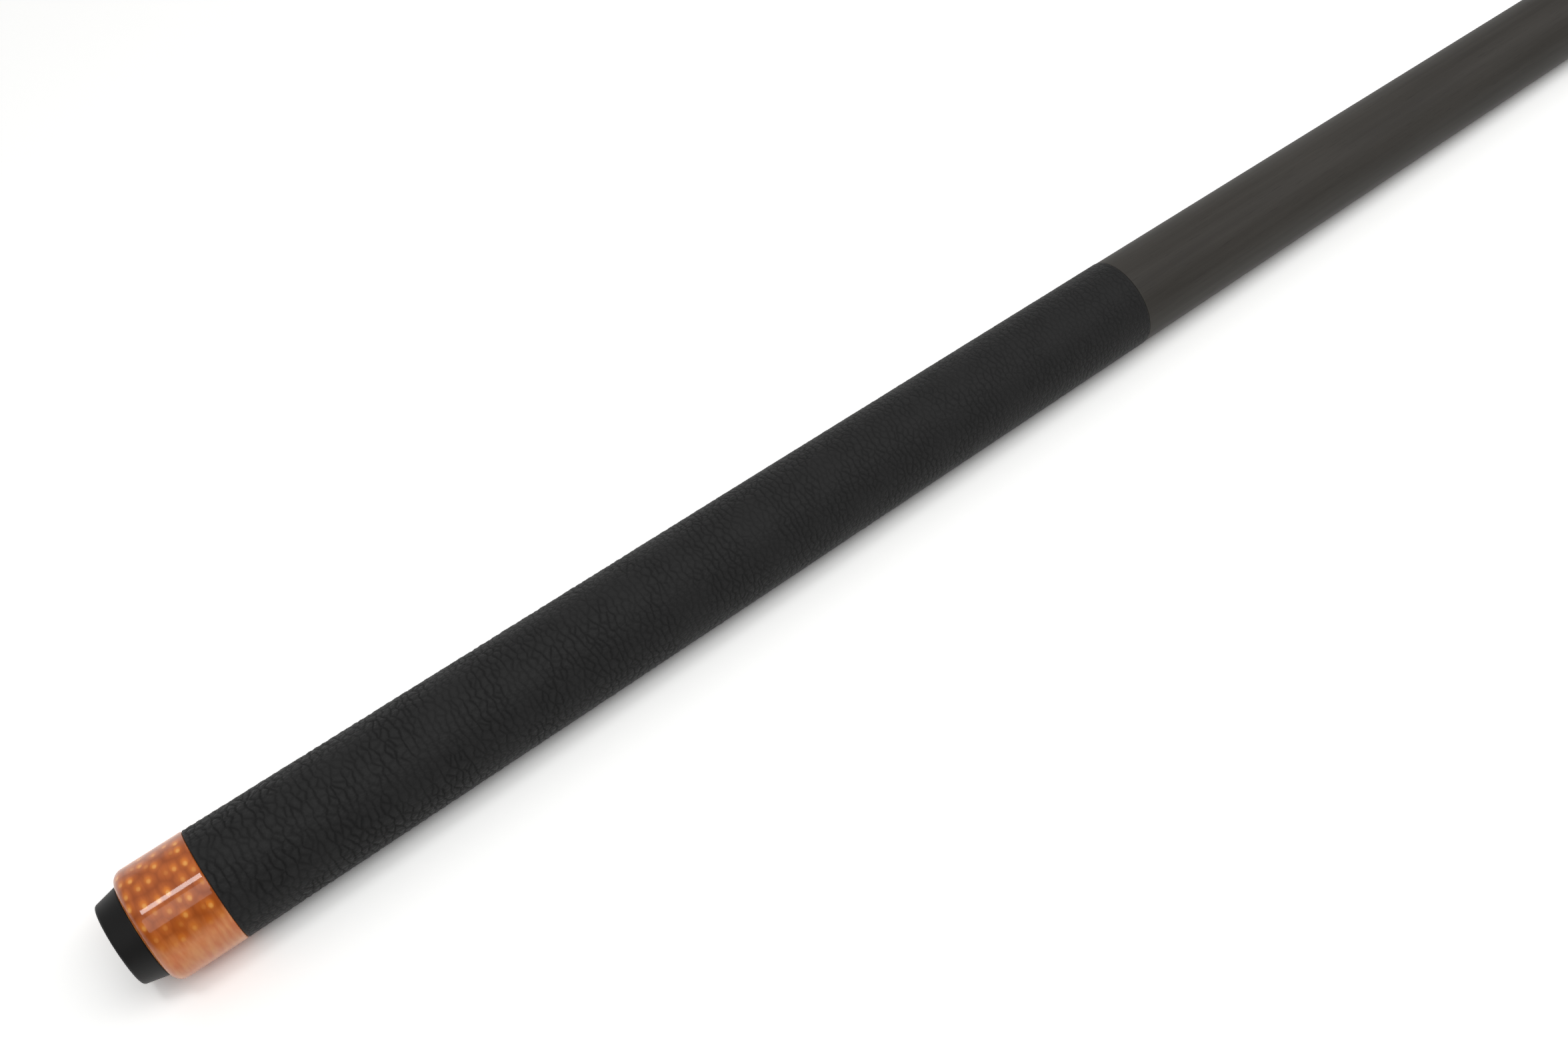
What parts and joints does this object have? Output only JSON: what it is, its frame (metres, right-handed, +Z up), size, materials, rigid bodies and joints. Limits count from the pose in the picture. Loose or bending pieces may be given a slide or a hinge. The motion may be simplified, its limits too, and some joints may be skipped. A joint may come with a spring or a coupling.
{
  "type": "pool cue",
  "caption": "Long tapered two-piece billiard cue that unscrews at mid-length, with a leather wrapped grip, a resin butt cap, a rubber bumper and a white ferrule with a leather tip.",
  "frame": {"origin": "middle of the cue's length, under its axis, on the surface that the lying cue rests on", "axes": "+X along the cue's axis from the bumper to the tip, +Y to the side, +Z up; the axis is level"},
  "size_m": [1.4796, 0.0318, 0.0318],
  "materials": {
    "bumper_rubber": "satin moulded black rubber",
    "zinc_steel": "zinc plated",
    "amber_resin": "polished amber resin with pearly dots",
    "brass": "turned",
    "black_steel": "black oxide",
    "blue_nylon": "matte nylon",
    "plain_maple": "satin sealed maple",
    "black_leather": "satin pebbled black leather",
    "stained_maple": "satin lacquer over charcoal stain",
    "black_phenolic": "polished black phenolic",
    "stainless_steel": "bright stainless",
    "ivory_resin": "polished white resin",
    "red_fibre": "matte vulcanised fibre",
    "tip_leather": "matte layered leather"
  },
  "bodies": {
    "butt": {"butt_cap": "amber_resin", "weight_sleeve": "brass", "handle": "plain_maple", "leather_wrap": "black_leather", "handle_stud": "zinc_steel", "forearm": "stained_maple", "butt_collar": "black_phenolic", "joint_pin": "stainless_steel"},
    "shaft_carrier": {"shaft_insert": "brass"},
    "shaft_half": {"shaft": "plain_maple", "shaft_collar": "black_phenolic", "ferrule": "ivory_resin", "tip_pad": "red_fibre", "tip": "tip_leather"},
    "bumper_carrier": {"bumper_stud": "zinc_steel"},
    "bumper_body": {"bumper": "bumper_rubber"},
    "bolt_carrier": {"bolt_lock_ring": "blue_nylon"},
    "bolt_body": {"weight_bolt": "black_steel"}
  },
  "joints": [
    {"name": "shaft_feed", "type": "slide", "parent": "butt", "child": "shaft_carrier", "axis": [1, 0, 0], "range_m": [0, 0.0342]},
    {"name": "shaft_screw", "type": "hinge", "parent": "shaft_carrier", "child": "shaft_half", "pos_m": [0.00325, 0, 0.01588], "axis": [1, 0, 0], "range_deg": [0, 4850]},
    {"name": "bumper_feed", "type": "slide", "parent": "butt", "child": "bumper_carrier", "axis": [-1, 0, 0], "range_m": [0, 0.0142]},
    {"name": "bumper_screw", "type": "hinge", "parent": "bumper_carrier", "child": "bumper_body", "pos_m": [-0.73335, 0, 0.01588], "axis": [-1, 0, 0], "range_deg": [0, 3225]},
    {"name": "weight_bolt_feed", "type": "slide", "parent": "butt", "child": "bolt_carrier", "axis": [-1, 0, 0], "range_m": [-0.0142, 0.0142]},
    {"name": "weight_bolt_screw", "type": "hinge", "parent": "bolt_carrier", "child": "bolt_body", "pos_m": [-0.68125, 0, 0.01588], "axis": [-1, 0, 0], "range_deg": [-3225, 3225]}
  ],
  "couplings": [
    {"joint": "shaft_screw", "follows": "shaft_feed", "rad_per_m": 2473.7},
    {"joint": "bumper_screw", "follows": "bumper_feed", "rad_per_m": 3957.9},
    {"joint": "weight_bolt_screw", "follows": "weight_bolt_feed", "rad_per_m": 3957.9}
  ]
}
